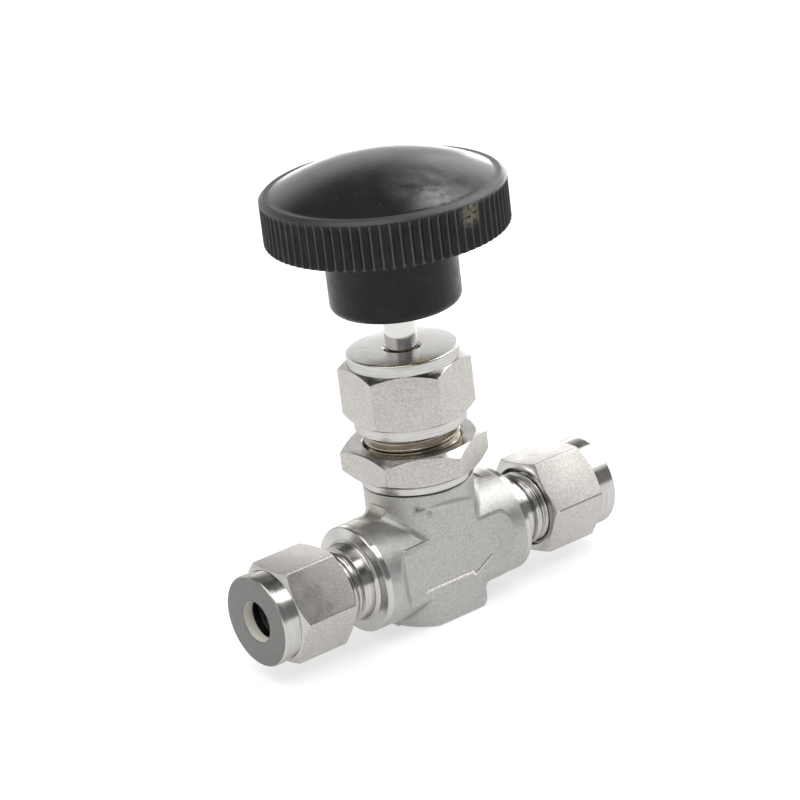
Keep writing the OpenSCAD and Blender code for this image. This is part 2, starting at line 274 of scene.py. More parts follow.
def turned_steel(name, axis, color=(0.57, 0.56, 0.545), roughness=0.2):
    """Turned surface: fine tool rings across the axis (0 for X, 2 for Z) that draw out highlights."""
    m = Nodes(name, color, 1.0, roughness)
    stretch = [0.02, 0.02, 0.02]
    stretch[axis] = 1.0
    rings = m.noise(0.11, detail=3, stretch=tuple(stretch))
    cloud = m.noise(1.6, detail=3)
    dull = tuple(c * 0.8 for c in color)
    m.set("Base Color", m.mix(m.ramp(rings, 0.35, 0.65, 0, 1), dull, color))
    m.set("Roughness", m.ramp(cloud, 0.3, 0.7, roughness - 0.04, roughness + 0.08))
    tangent = m.add("ShaderNodeTangent", direction_type="RADIAL", axis="XYZ"[axis])
    m.link(tangent.outputs["Tangent"], m.shader.inputs["Tangent"])
    m.shader.inputs["Specular Tint"].default_value = (0.7, 0.69, 0.67, 1)
    m.shader.inputs["Anisotropic"].default_value = 0.55
    m.shader.inputs["Anisotropic Rotation"].default_value = 0.25
    m.bump(rings, 0.005, 0.5)
    return m.material


def mirror_steel():
    m = Nodes("mirror_steel", (0.64, 0.63, 0.615), 1.0, 0.07)
    cloud = m.noise(1.6, detail=3)
    m.set("Roughness", m.ramp(cloud, 0.35, 0.7, 0.05, 0.12))
    return m.material


def satin_steel():
    """Top of the packing nut: polished, with a soft reflection."""
    m = Nodes("satin_steel", (0.62, 0.61, 0.6), 1.0, 0.26)
    m.set("Roughness", m.ramp(m.noise(1.6, detail=3), 0.35, 0.7, 0.24, 0.32))
    return m.material


def faced_steel():
    """Outer face of a tube nut: dull grey, with faint rings round the axis."""
    m = Nodes("faced_steel", (0.2, 0.2, 0.195), 1.0, 0.36)
    grain = m.noise(0.25, detail=3)
    light = m.ramp(grain, 0.35, 0.65, 0, 1)
    m.set("Base Color", m.mix(light, (0.155, 0.155, 0.15), (0.21, 0.21, 0.205)))
    m.bump(grain, 0.005, 0.5)
    return m.material


def phenolic():
    """Black moulded phenolic: glossy, hazy with dust on one side of the dome."""
    black = (0.006, 0.006, 0.007)
    m = Nodes("phenolic", black, 0.0, 0.2)
    wide = m.near(SCUFF_PLACE, 1.0, 9.0)
    scuff = m.noise(2.2, detail=8, rough=0.62, stretch=(1.0, 0.6, 1.0))
    scuffs = m.math("MULTIPLY", m.ramp(scuff, 0.3, 0.85, 0.06, 0.5), wide)
    smear = m.ramp(m.noise(1.1, detail=6), 0.3, 0.65, 0.1, 0.85)
    streak = m.math("MULTIPLY", smear, m.near(SMEAR_PLACE, 0.5, 4.2))
    specks = m.ramp(m.noise(0.5, detail=1), 0.76, 0.82, 0, 0.4)
    dust = m.math("MAXIMUM", m.math("MAXIMUM", scuffs, streak), specks)
    m.set("Base Color", m.mix(dust, black, (0.2, 0.2, 0.205)))
    rough = m.ramp(m.noise(4.0, detail=4), 0.3, 0.75, 0.16, 0.3)
    m.set("Roughness", m.math("ADD", rough, m.math("MULTIPLY", dust, 0.4)))
    m.bump(m.noise(0.9, detail=4), 0.004, 0.35)
    return m.material


def side_phenolic(name, color, rub_and_highlight):
    """Grip and hub: duller than the dome, with rubbed patches and a chip in the rim. On the rib crests
    the lighter patches spread over the whole crest and are also a painted highlight.
    """
    m = Nodes(name, color, 0.0, 0.33)
    m.shader.inputs["Specular IOR Level"].default_value = 0.22
    patch = m.ramp(m.noise(2.4, detail=8, rough=0.7), 0.45, 0.75, 0, rub_and_highlight)
    ragged = m.ramp(m.noise(0.5, detail=3), 0.38, 0.5, 0, 1)
    chip = m.math("MULTIPLY", m.near(CHIP_PLACE, 1.0, 2.2), ragged)
    tone = m.mix(patch, color, (0.075, 0.078, 0.083))
    m.set("Base Color", m.mix(m.math("MULTIPLY", chip, 0.8), tone, (0.19, 0.175, 0.12)))
    m.set("Roughness", m.ramp(m.noise(1.5, detail=4), 0.3, 0.7, 0.26, 0.42))
    m.bump(m.noise(0.7, detail=4), 0.005, 0.4)
    return m.material


def rim_wear_and_highlight_phenolic():
    """The knob's ring edge, rubbed grey, and greyer on its right side, where the grey is also a painted
    highlight.
    """
    m = Nodes("rim_wear_and_highlight_phenolic", (0.03, 0.031, 0.033), 0.0, 0.4)
    wear = m.noise(0.7, detail=6, rough=0.7)
    # Greyer towards the right side: wear and a painted highlight
    side = m.near(WEAR_AND_HIGHLIGHT_PLACE, 9.0, 24.0)
    share = m.math("ADD", m.math("MULTIPLY", side, 0.8), 0.2)
    amount = m.math("MULTIPLY", m.ramp(wear, 0.35, 0.65, 0.35, 1), share)
    m.set("Base Color", m.mix(amount, (0.01, 0.01, 0.011), (0.085, 0.088, 0.092)))
    m.bump(wear, 0.01, 0.5)
    return m.material


def plain(name, color, metallic, roughness, grain_mm=0.4, depth_mm=0.004):
    m = Nodes(name, color, metallic, roughness)
    grain = m.noise(grain_mm, detail=3)
    m.set("Roughness", m.ramp(grain, 0.3, 0.7, roughness * 0.8, roughness * 1.2))
    m.bump(grain, depth_mm, 0.5)
    return m.material


# ---- mesh helpers -----------------------------------------------------------------------------


def outline(corners, steps=5):
    """Points of an outline with rounded corners; a corner is (r, z) or (r, z, radius)."""
    count = len(corners)
    points = []
    for i, corner in enumerate(corners):
        here = np.array(corner[:2], float)
        radius = corner[2] if len(corner) > 2 else 0
        if not radius:
            points.append(here)
            continue
        before = np.array(corners[i - 1][:2], float) - here
        after = np.array(corners[(i + 1) % count][:2], float) - here
        before /= np.linalg.norm(before)
        after /= np.linalg.norm(after)
        half = math.acos(max(-1.0, min(1.0, float(before @ after)))) / 2
        reach = radius / math.tan(half)
        middle = before + after
        centre = here + middle / np.linalg.norm(middle) * radius / math.sin(half)
        start = here + before * reach - centre
        end = here + after * reach - centre
        sweep = math.pi - 2 * half
        for k in range(steps + 1):
            t = k / steps
            arm = (math.sin((1 - t) * sweep) * start + math.sin(t * sweep) * end) / math.sin(sweep)
            points.append(centre + arm)
    return np.array(points)


def hexagon_radius(angle, flats, corner):
    """Distance from the axis to a hexagon with rounded corners, at an angle from a corner."""
    apothem = flats / 2
    off = abs((math.degrees(angle) + 30) % 60 - 30)
    from_flat = math.radians(30 - off)
    inner = apothem - corner
    if apothem * math.tan(from_flat) <= inner * TAN30:
        return apothem / math.cos(from_flat)
    reach = inner / math.cos(math.radians(30))
    lean = math.radians(30) - from_flat
    return reach * math.cos(lean) + math.sqrt(corner**2 - (reach * math.sin(lean)) ** 2)


def add_mesh(name, points, faces, materials, place, indices=None, sharp=35):
    """A smooth-shaded piece whose points, in millimetres, are moved by the matrix place."""
    mesh = bpy.data.meshes.new(name)
    mesh.from_pydata((np.asarray(points) * MM).tolist(), [], faces)
    mesh.transform(place)
    for material in materials:
        mesh.materials.append(material)
    if indices is not None:
        mesh.polygons.foreach_set("material_index", indices)
    mesh.shade_smooth()
    mesh.set_sharp_from_angle(angle=math.radians(sharp))
    mesh.validate()
    piece = bpy.data.objects.new(name, mesh)
    bpy.context.scene.collection.objects.link(piece)
    return piece


def loft(name, profiles, materials, place, marks=None, closed=True, sharp=35):
    """Joins profiles of (r, z) points, one for each equal step of angle about the axis.

    marks gives the material of each stretch of the profile; an open profile starts and ends on
    the axis.
    """
    profiles = np.asarray(profiles, float)
    turns, count = profiles.shape[:2]
    angle = np.arange(turns) * 2 * math.pi / turns
    r, z = profiles[..., 0], profiles[..., 1]
    points = np.stack([r * np.cos(angle)[:, None], r * np.sin(angle)[:, None], z], -1).reshape(-1, 3)
    stretches = count if closed else count - 1
    i, j = np.meshgrid(np.arange(turns), np.arange(stretches), indexing="ij")
    ni, nj = (i + 1) % turns, (j + 1) % count
    quads = np.stack([i * count + j, ni * count + j, ni * count + nj, i * count + nj], -1)
    faces = quads.reshape(-1, 4).tolist()
    indices = None
    if marks is not None:
        indices = np.tile(np.asarray(marks)[:stretches], turns).tolist()
    if not closed:
        points, faces, indices = close_ends(points, faces, indices, turns, count)
    return add_mesh(name, points, faces, materials, place, indices, sharp)


def close_ends(points, faces, indices, turns, count):
    """Makes one point of each ring that lies on the axis."""
    first = {i * count: 0 for i in range(turns)}
    last = {i * count + count - 1: count - 1 for i in range(turns)}
    merged = {**first, **last}
    clean, kept = [], []
    for number, face in enumerate(faces):
        face = [merged.get(v, v) for v in face]
        clean.append([v for k, v in enumerate(face) if v != face[k - 1]])
        kept.append(indices[number] if indices else 0)
    used = sorted({v for face in clean for v in face})
    renumber = {v: k for k, v in enumerate(used)}
    return points[used], [[renumber[v] for v in face] for face in clean], kept


def turned(name, corners, materials, place, turns=144, marks=None, closed=True, sharp=35, steps=5):
    """A turned piece; marks, when given, holds one material number for each corner."""
    points = outline(corners, steps)
    if marks is not None:
        counts = [steps + 1 if len(c) > 2 and c[2] else 1 for c in corners]
        marks = [mark for mark, n in zip(marks, counts) for _ in range(n)]
    profiles = np.broadcast_to(points, (turns, *points.shape))
    return loft(name, profiles, materials, place, marks, closed, sharp)


def on_stem():
    return Matrix.Translation(CROSSING)


def on_end(side):
    """Turns a piece drawn up +Z on to the flow axis, towards +X (1) or -X (-1)."""
    return Matrix.Translation(CROSSING) @ Matrix.Rotation(side * math.pi / 2, 4, "Y")


# ---- forging ----------------------------------------------------------------------------------


def round_union(a, b, radius):
    u, v = np.maximum(radius - a, 0), np.maximum(radius - b, 0)
    return np.maximum(radius, np.minimum(a, b)) - np.sqrt(u * u + v * v)


def round_cut(a, b, radius):
    u, v = np.maximum(radius + a, 0), np.maximum(radius + b, 0)
    return np.minimum(-radius, np.maximum(a, b)) + np.sqrt(u * u + v * v)


def soft_ramp(value, width):
    """Zero below 0, value above, with a smooth bend of that width."""
    return 0.5 * (value + np.sqrt(value * value + width * width))


def segment(x, off, z, a, b):
    """Distance from the straight line between a and b, points (x, z) on the front flat.

    off is the distance to the line's own plane.
    """
    ax, az = a
    bx, bz = b
    length2 = (bx - ax) ** 2 + (bz - az) ** 2
    t = np.clip(((x - ax) * (bx - ax) + (z - az) * (bz - az)) / length2, 0, 1)
    return np.sqrt((x - ax - t * (bx - ax)) ** 2 + (z - az - t * (bz - az)) ** 2 + off**2)


# Flow arrow: shaft, and the lower edge of its head, as fine raised lines on the front flat
ARROW = [(-6.0, -3.05), (2.9, -3.1), (3.35, -3.6), (6.8, -1.75)]
ARROW_LINE_R = 0.17
# Small lumps on that flat: middles and radii
LUMPS = ((-9.0, 0.05, 4.3, 0.42), (-8.2, 0.0, 4.15, 0.36), (-3.9, 0.05, 8.5, 0.42))
# Half width of the trimmed band along the parting line
BAND = 1.75


def fillet_radius(y):
    """Radius where arms and column meet: wide on the parting line, small towards the flats."""
    off = np.abs(y)
    return np.where(off < BAND, 2.1, np.clip(1.4 - 0.2 * (off - BAND), 0.35, 1.4))


def passages(x, y, z):
    """Distance to the inner space: stem bore, chamber, seat, inlet and sloping outlet."""
    off = np.sqrt(x * x + y * y)
    stem_bore = np.maximum(off - STEM_BORE_R, STEM_BORE_BOTTOM - z)
    chamber = np.maximum(off - CHAMBER_R, np.abs(z - CHAMBER_MIDDLE) - CHAMBER_HALF)
    seat = np.maximum(off - SEAT_R, np.abs(z - SEAT_MIDDLE) - SEAT_HALF)
    inlet = np.maximum(np.sqrt(y * y + z * z) - INLET_R, x - INLET_END)
    outlet = segment(x, y, z, *OUTLET) - OUTLET_R
    return np.minimum.reduce(np.broadcast_arrays(stem_bore, chamber, seat, inlet, outlet))


def forging_distance(x, y, z):
    """Distance to the forging's surface, negative inside, in millimetres."""
    arm_r = ARM_R - (ARM_R - COLLAR_R) / (1 + np.exp(-(np.abs(x) - 10.6) / 0.2))
    arm = round_cut(np.sqrt(y * y + z * z) - arm_r, np.abs(x) - FORGING_END, 0.12)
    column = np.sqrt(x * x + y * y) - COLUMN_R
    column = round_cut(column, BOSS_BOTTOM - z, 0.45)
    column = round_cut(column, z - SHOULDER_TOP, 0.12)
    solid = round_union(arm, column, fillet_radius(y))
    # Trimmed along the parting line
    crest = round_union(np.abs(x) - CREST, np.abs(z) - CREST, 1.95)
    turned_zone = np.maximum(np.abs(x) - 10.7, z - 9.7)
    crest = crest - 0.8 * np.maximum(turned_zone, 0)
    solid = np.maximum(solid, crest)
    # The two flats, which run out towards the turned ends and the shoulder
    half = FLAT_Y + 0.75 * soft_ramp(np.abs(x) - 9.2 - 0.05 * z, 0.16)
    half = half + 1.1 * soft_ramp(z - 8.9 + 0.16 * np.sign(-y) * x, 0.1)
    solid = round_cut(solid, (np.abs(y) - half) * 0.8, 0.2)
    front = y + FLAT_Y
    # Raised lip where the front flat meets the left arm, and the lumps at its ends
    lip = segment(x, front + 0.1, z, (-4.75, 4.55), (-8.6, 4.4)) - 0.3
    solid = round_union(solid, lip, 0.25)
    for lump_x, lump_y, lump_z, radius in LUMPS:
        lump = np.sqrt((x - lump_x) ** 2 + (front - lump_y) ** 2 + (z - lump_z) ** 2) - radius
        solid = round_union(solid, lump, 0.2)
    ledge = segment(x, front - 0.25, z, (-6.2, 9.45), (-4.2, 9.35)) - 0.31
    solid = round_union(solid, ledge, 0.15)
    for a, b in zip(ARROW, ARROW[1:]):
        line = segment(x, front - 0.02, z, a, b) - ARROW_LINE_R
        solid = round_union(solid, line, 0.07)
    return np.maximum(solid, -passages(x, y, z))


def surface_net(distance, low, high, step):
    """Quad mesh of the zero surface of a distance function, its points moved on to it."""
    axes = [np.arange(a, b + step, step) for a, b in zip(low, high)]
    grid = distance(*np.meshgrid(*axes, indexing="ij", sparse=True))
    shape = [n - 1 for n in grid.shape]
    inside = grid < 0
    corners = [(i, j, k) for i in (0, 1) for j in (0, 1) for k in (0, 1)]

    def at(array, corner):
        return array[tuple(slice(c, c + n) for c, n in zip(corner, shape))]

    total = sum(at(inside, c).astype(np.int8) for c in corners)
    mixed = (total > 0) & (total < 8)
    cells = np.argwhere(mixed)
    number = np.full(shape, -1)
    number[mixed] = np.arange(len(cells))
    place = np.zeros((len(cells), 3))
    weight = np.zeros(len(cells))
    for c in corners:
        for axis in range(3):
            if c[axis]:
                continue
            d = tuple(v + (n == axis) for n, v in enumerate(c))
            va, vb = at(grid, c)[mixed], at(grid, d)[mixed]
            cross = (va < 0) != (vb < 0)
            t = np.where(cross, va / np.where(cross, va - vb, 1), 0)
            spot = np.array(c, float) + t[:, None] * np.eye(3)[axis]
            place += np.where(cross[:, None], spot, 0)
            weight += cross
    points = np.array([a[0] for a in axes]) + (cells + place / weight[:, None]) * step
    faces = net_faces(inside, number)
    for _ in range(4):
        points = points - surface_step(distance, points, step)
    return points, faces


def net_faces(inside, number):
    faces = []
    for axis in range(3):
        u, v = (axis + 1) % 3, (axis + 2) % 3
        low = [slice(None)] * 3
        high = [slice(None)] * 3
        low[axis], high[axis] = slice(0, -1), slice(1, None)
        change = inside[tuple(low)] != inside[tuple(high)]
        edges = np.argwhere(change)
        fits = (edges[:, u] > 0) & (edges[:, v] > 0)
        fits &= (edges[:, u] < number.shape[u]) & (edges[:, v] < number.shape[v])
        edges = edges[fits]
        outward = inside[tuple(low)][tuple(edges.T)]
        ring = []
        for du, dv in ((-1, -1), (0, -1), (0, 0), (-1, 0)):
            cell = edges.copy()
            cell[:, u] += du
            cell[:, v] += dv
            ring.append(number[tuple(cell.T)])
        ring = np.stack(ring, -1)
        ring[~outward] = ring[~outward][:, ::-1]
        faces += ring.tolist()
    return faces


def surface_step(distance, points, step):
    """Newton step towards the surface, no longer than half a grid step."""
    h = 0.02
    here = distance(*points.T)
    slope = np.stack(
        [(distance(*(points + h * e).T) - distance(*(points - h * e).T)) / (2 * h) for e in np.eye(3)], -1
    )
    size = np.maximum((slope**2).sum(-1), 0.05)
    move = here[:, None] * slope / size[:, None]
    length = np.linalg.norm(move, axis=1, keepdims=True)
    return move * np.minimum(1, 0.5 * step / np.maximum(length, 1e-9))


def forging(materials):
    """materials: blasted, trimmed, painted highlight of the arrow lines."""
    step = 0.12
    reach = (FORGING_END + 0.5, COLUMN_R + 0.5)
    points, faces = surface_net(
        forging_distance,
        (-reach[0], -reach[1], BOSS_BOTTOM - 0.5),
        (reach[0], reach[1], SHOULDER_TOP + 0.5),
        step,
    )
    points[:, 2] = np.maximum(points[:, 2], BOSS_BOTTOM)
    x, y, z = points[np.asarray(faces)].mean(1).T
    # Faces on the arrow's raised lines take the bright material, a painted highlight
    near_line = np.min([segment(x, y + FLAT_Y, z, a, b) for a, b in zip(ARROW, ARROW[1:])], 0)
    arrow_highlight_faces = (near_line < ARROW_LINE_R + 0.04) & (y < -FLAT_Y - 0.03)
    band = (np.abs(y) < BAND + 0.05) & (np.abs(x) > 5.5) & (np.abs(x) < 12.4) & (np.abs(z) < 11.3)
    finish = np.where(arrow_highlight_faces, 2, np.where(band, 1, 0)).tolist()
    return add_mesh("body_forging", points, faces, materials, on_stem(), finish, sharp=80)


# ---- turned parts of the body -----------------------------------------------------------------


def thread_wave(phase):
    """Thread profile between 0 at the crest and 1 at the root, with flats on both."""
    fold = np.abs((phase % 1) * 2 - 1)
    return np.clip((fold - 0.14) / 0.68, 0, 1)


def threaded(name, before, after, radius, start, end, pitch, depth, materials, place, turns=144):
    """A turned piece with a helical thread of that depth between start and end.

    before and after are the corners of its outline on either side of the thread.
    """
    z = np.arange(start, end + 0.01, pitch / 14)
    head, tail = outline(before), outline(after)
    fade = np.clip((z - start) / (0.8 * pitch), 0, 1) * np.clip((end - z) / (0.8 * pitch), 0, 1)
    profiles = []
    for k in range(turns):
        wave = thread_wave(z / pitch - k / turns)
        r = radius - depth * wave * np.sqrt(fade)
        profiles.append(np.concatenate([head, np.stack([r, z], -1), tail]))
    return loft(name, profiles, materials, place, sharp=60)


def body_end(side, name, bright):
    """Collar edge, polished face, neck, thread and tube socket of one end."""
    before = [
        (SOCKET_R, SOCKET_BOTTOM),
        (INLET_R, SOCKET_BOTTOM),
        (INLET_R, 12.5),
        (COLLAR_R - 0.02, 12.5),
        (COLLAR_R - 0.02, 13.7, 0.06),
        (COLLAR_R - 0.2, 13.89, 0.06),
        (6.3, 13.89, 0.1),
        (5.85, 14.3, 0.3),
        (5.75, 16.2, 0.1),
        (5.15, 16.55, 0.2),
        (5.15, 17.0),
    ]
    after = [
        (END_THREAD_R - 0.05, BODY_END - 0.55),
        (END_THREAD_R - 0.6, BODY_END),
        (4.3, BODY_END),
        (SOCKET_R, 19.6),
    ]
    start, end, depth = 17.1, BODY_END - 0.6, 0.62
    return threaded(
        name, before, after, END_THREAD_R, start, end, END_PITCH, depth, [bright], on_end(side)
    )


def body_neck(bright):
    before = [
        (PACKING_BORE_R, PACKING_BORE_BOTTOM),
        (STEM_BORE_R, PACKING_BORE_BOTTOM),
        (STEM_BORE_R, 11.4),
        (NECK_R - 0.25, 11.4),
        (NECK_R - 0.25, 12.4, 0.1),
    ]
    after = [
        (NECK_R - 0.1, NECK_TOP - 0.5),
        (NECK_R - 0.6, NECK_TOP),
        (4.9, NECK_TOP),
        (PACKING_BORE_R, NECK_TOP - 0.4),
    ]
    start, end, depth = 12.5, NECK_TOP - 0.55, 0.75
    return threaded(
        "body_neck", before, after, NECK_R, start, end, NECK_PITCH, depth, [bright], on_stem(), 180
    )


# ---- nuts -------------------------------------------------------------------------------------


def hexagon_nut(name, corners_at, flats, turn, materials, place, marks, turns=360, steps=4):
    """A nut whose outline at each angle is corners_at(distance to the hexagon's wall)."""
    profiles = []
    for k in range(turns):
        angle = 2 * math.pi * k / turns - math.radians(turn)
        profiles.append(outline(corners_at(hexagon_radius(angle, flats, 0.18)), steps))
    counts = [steps + 1 if len(c) > 2 and c[2] else 1 for c in corners_at(flats / 2)]
    numbers = [mark for mark, n in zip(marks, counts) for _ in range(n)]
    return loft(name, profiles, materials, place, numbers)


TUBE_NUT_FLATS = 14.0
TUBE_NUT_IN = 18.97
TUBE_NUT_OUT = 28.85
TUBE_NUT_CHAMFER_R = 6.8
TUBE_NUT_COLLAR_R = 6.92
TUBE_NUT_BORE_R = 3.12


def tube_nut(side, name, turn, materials):
    """materials: turned, flats, outer face, mouth of the bore (bright cream, a painted reflection), depth
    of the bore (nearly black, a painted shadow).
    """

    def corners(wall):
        drop = (wall - TUBE_NUT_CHAMFER_R) * TAN30
        return [
            (5.65, TUBE_NUT_IN + 0.5),
            (6.15, TUBE_NUT_IN),
            (TUBE_NUT_CHAMFER_R, TUBE_NUT_IN),
            (wall, TUBE_NUT_IN + drop, 0.06),
            (wall, TUBE_NUT_OUT - drop, 0.06),
            (TUBE_NUT_CHAMFER_R + 0.03, TUBE_NUT_OUT - 0.02),
            (TUBE_NUT_COLLAR_R, END_X - 0.9),
            (TUBE_NUT_COLLAR_R, END_X - 0.2, 0.08),
            (TUBE_NUT_COLLAR_R - 0.2, END_X, 0.08),
            (TUBE_NUT_BORE_R + 0.1, END_X),
            (TUBE_NUT_BORE_R, END_X - 0.1),
            (TUBE_NUT_BORE_R, END_X - 1.7),
            (TUBE_NUT_BORE_R, 29.2),
            (4.75, 27.1),
            (4.75, 25.0),
            (5.65, 25.0),
        ]

    # Material 3, the bore's mouth, is a painted reflection; material 4, its depth, is a painted shadow
    marks = [0, 0, 0, 1, 0, 0, 0, 0, 2, 2, 3, 4, 4, 4, 0, 0]
    return hexagon_nut(name, corners, TUBE_NUT_FLATS, turn, materials, on_end(side), marks)


PACKING_NUT_FLATS = 17.0
# Angle of a corner of the hexagon about the stem, in degrees
PACKING_NUT_TURN = 20.8


def packing_nut(materials):
    """materials: turned, flats, top."""
    disc_r, chamfer_r = 8.3, 8.4
    corner = 9.815
    top, bottom = 29.48 + (corner - chamfer_r) * TAN30, 22.64 - (corner - chamfer_r) * TAN30

    def corners(wall):
        drop = (wall - chamfer_r) * TAN30
        return [
            (7.2, 28.0),
            (7.2, 20.8),
            (7.7, 20.3),
            (disc_r, 20.3, 0.2),
            (disc_r, bottom - 0.02),
            (chamfer_r, bottom),
            (wall, bottom + drop, 0.08),
            (wall, top - drop, 0.08),
            (chamfer_r, top),
            (disc_r, top + 0.02),
            (disc_r, 32.07, 0.35),
            (2.9, 32.07),
            (2.55, 31.7),
            (2.55, 28.0),
        ]

    marks = [0, 0, 0, 0, 0, 0, 1, 0, 0, 0, 2, 0, 0, 0]
    return hexagon_nut(
        "packing_nut_visual", corners, PACKING_NUT_FLATS, PACKING_NUT_TURN, materials, on_stem(), marks
    )


PANEL_NUT_FLATS = 19.0
PANEL_NUT_TURN = 28.6


def panel_nut(materials):
    """materials: turned, flats."""
    collar_r, chamfer_r, corner = 8.35, 9.3, PANEL_NUT_FLATS / math.sqrt(3)
    bottom = 12.95
    top = 17.02 + (corner - chamfer_r) * TAN30

    def corners(wall):
        return [
            (7.2, top - 0.35),
            (7.2, 12.4),
            (7.7, 11.9),
            (collar_r, 11.9, 0.15),
            (collar_r, bottom - 0.02),
            (collar_r + 0.05, bottom),
            (wall, bottom + (wall - collar_r) * TAN30, 0.1),
            (wall, top - (wall - chamfer_r) * TAN30, 0.06),
            (chamfer_r, top, 0.05),
            (7.6, top),
        ]

    marks = [0, 0, 0, 0, 0, 0, 1, 0, 0, 0]
    return hexagon_nut(
        "panel_nut_visual", corners, PANEL_NUT_FLATS, PANEL_NUT_TURN, materials, on_stem(), marks
    )


# ---- stem and knob ----------------------------------------------------------------------------

STEM_R = 2.37
RIBS = 80
RIB_DEPTH = 0.5
HUB_BOTTOM = 38.6
KNOB_TOP = 61.1


def stem(mirror):
    corners = [
        (0, 17.9),
        (STEM_R, 17.9),
        (STEM_R, 50.0),
        (STEM_R - 0.4, 50.4),
        (0, 50.4),
    ]
    return turned("stem_shaft", corners, [mirror], on_stem(), closed=False)


def knob(materials):
    """materials: dome, rubbed edge (greyer on its right side, partly a painted highlight), grip, crest of
    a rib (lighter, partly a painted highlight).
    """
    rim_r, hub_r = 17.87, 9.65
    ring_outer, ring_inner, ring_top, rib_top, rim_bottom = 17.3, 16.5, 57.1, 56.2, 49.7
    dome_h = KNOB_TOP - ring_top
    dome_r = (ring_inner**2 + dome_h**2) / (2 * dome_h)
    corners = [
        (4.5, HUB_BOTTOM + 0.5),
        (4.5, HUB_BOTTOM),
        (hub_r, HUB_BOTTOM, 1.35),
        (hub_r, rim_bottom + 0.3, 0.4),
        (rim_r - 1.4, rim_bottom + 0.25, 0.3),
        (rim_r - 0.3, rim_bottom, 0.1),
        (rim_r, rim_bottom + 0.3),
    ]
    head = outline(corners, 6)
    wall_z = np.linspace(rim_bottom + 0.4, rib_top + 0.1, 26)
    wall = np.stack([np.full_like(wall_z, rim_r), wall_z], -1)
    crown_corners = [
        (rim_r, rib_top + 0.2),
        (rim_r - 0.25, rib_top + 0.45, 0.2),
        (ring_outer, ring_top - 0.15, 0.2),
        (ring_outer - 0.25, ring_top, 0.12),
        (ring_inner + 0.1, ring_top),
    ]
    crown = outline(crown_corners, 4)
    crown_r = np.linspace(ring_inner - 0.15, 0, 40)
    dome_z = ring_top - 0.12 + np.sqrt(dome_r**2 - crown_r**2) - (dome_r - dome_h)
    dome = np.stack([crown_r, dome_z], -1)
    base = np.concatenate([[(0, 51.2), (4.5, 51.2)], head, wall, crown, dome])
    turns = RIBS * 10
    profiles = np.broadcast_to(base, (turns, *base.shape)).copy()
    phase = (np.arange(turns) * RIBS / turns) % 1
    hollow = np.sqrt(np.sin(math.pi * phase) ** 2 + 0.02) - 0.14
    z = base[:, 1]
    fade = np.where(z > 50, np.clip((rib_top - z) / 0.5, 0, 1) ** 0.5, 1) * (base[:, 0] > rim_r - 1.2)
    limit = rim_r - RIB_DEPTH * hollow[:, None] * fade[None, :]
    radii = profiles[..., 0]
    profiles[..., 0] = np.where(fade[None, :] > 0, np.minimum(radii, limit), radii)
    head_count = 2 + len(head) + len(wall)
    marks = [2] * head_count + [1] * len(crown) + [0] * len(dome)
    piece = loft("knob_moulding", profiles, materials, on_stem(), marks, closed=False, sharp=50)
    faces = piece.data.polygons
    middle, mark = np.empty(len(faces) * 3), np.empty(len(faces), int)
    faces.foreach_get("center", middle)
    faces.foreach_get("material_index", mark)
    x, y, _ = middle.reshape(-1, 3).T / MM
    along = (np.arctan2(y, x) * RIBS / (2 * math.pi)) % 1
    # The ribs' crests get the lighter crest material: rubbed patches and a painted highlight along each
    # crest
    crest = (np.minimum(along, 1 - along) < 0.1) & (np.hypot(x, y) > rim_r - 0.16) & (mark == 2)
    faces.foreach_set("material_index", np.where(crest, 3, mark).tolist())
    return piece


# ---- ferrules ---------------------------------------------------------------------------------


def ferrules(side, word, bright):
    front = [
        (3.1, 22.6),
        (3.75, 22.6, 0.1),
        (4.25, 24.6),
        (4.55, 24.9, 0.05),
        (4.55, 26.45, 0.1),
        (3.9, 26.45),
        (3.1, 25.7),
    ]
    back = [
        (3.1, 26.05),
        (3.3, 26.05, 0.05),
        (3.8, 26.55),
        (4.03, 26.55),
        (4.03, 27.85, 0.1),
        (3.24, 28.95, 0.1),
        (3.1, 28.95),
    ]
    one = turned(f"{word}_front_ferrule_visual", front, [bright], on_end(side), 96)
    two = turned(f"{word}_back_ferrule_visual", back, [bright], on_end(side), 96)
    for piece, node in ((one, f"{word}_front_ferrule"), (two, f"{word}_back_ferrule")):
        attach(piece, f"{word}_ferrules")
        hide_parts(node)


# ---- scene ------------------------------------------------------------------------------------


def area_light(name, place, aim, size, power, mirrored=True):
    data = bpy.data.lights.new(name, "AREA")
    data.shape = "RECTANGLE"
    data.size, data.size_y = size
    data.energy = power
    light = bpy.data.objects.new(name, data)
    light.location = place
    light.rotation_euler = (Vector(aim) - Vector(place)).to_track_quat("-Z", "Y").to_euler()
    light.visible_glossy = mirrored
    light.visible_camera = False
    bpy.context.scene.collection.objects.link(light)


# The room: bright cloth up to a height, dark above it, and four soft boxes
CLOTH_LIGHT = 1.0
CLOTH_TOP = (0.36, 0.62)
CEILING_LIGHT = 0.18
BOXES = (
    ((-0.42, -0.08, 0.9), 0.86, 0.95, 2.2),
    ((-0.5, -0.72, 0.9), 0.95, 0.98, 1.6),
    ((0.6, -0.15, 0.79), 0.88, 0.93, 3.4),
    ((0.8, 0.5, 0.35), 0.962, 0.985, 0.8),
)
# The unlit side of the room, behind and beside the camera
DARK_SIDE = ((0, -1, 0.2), 0.1, 0.65, 0.25)


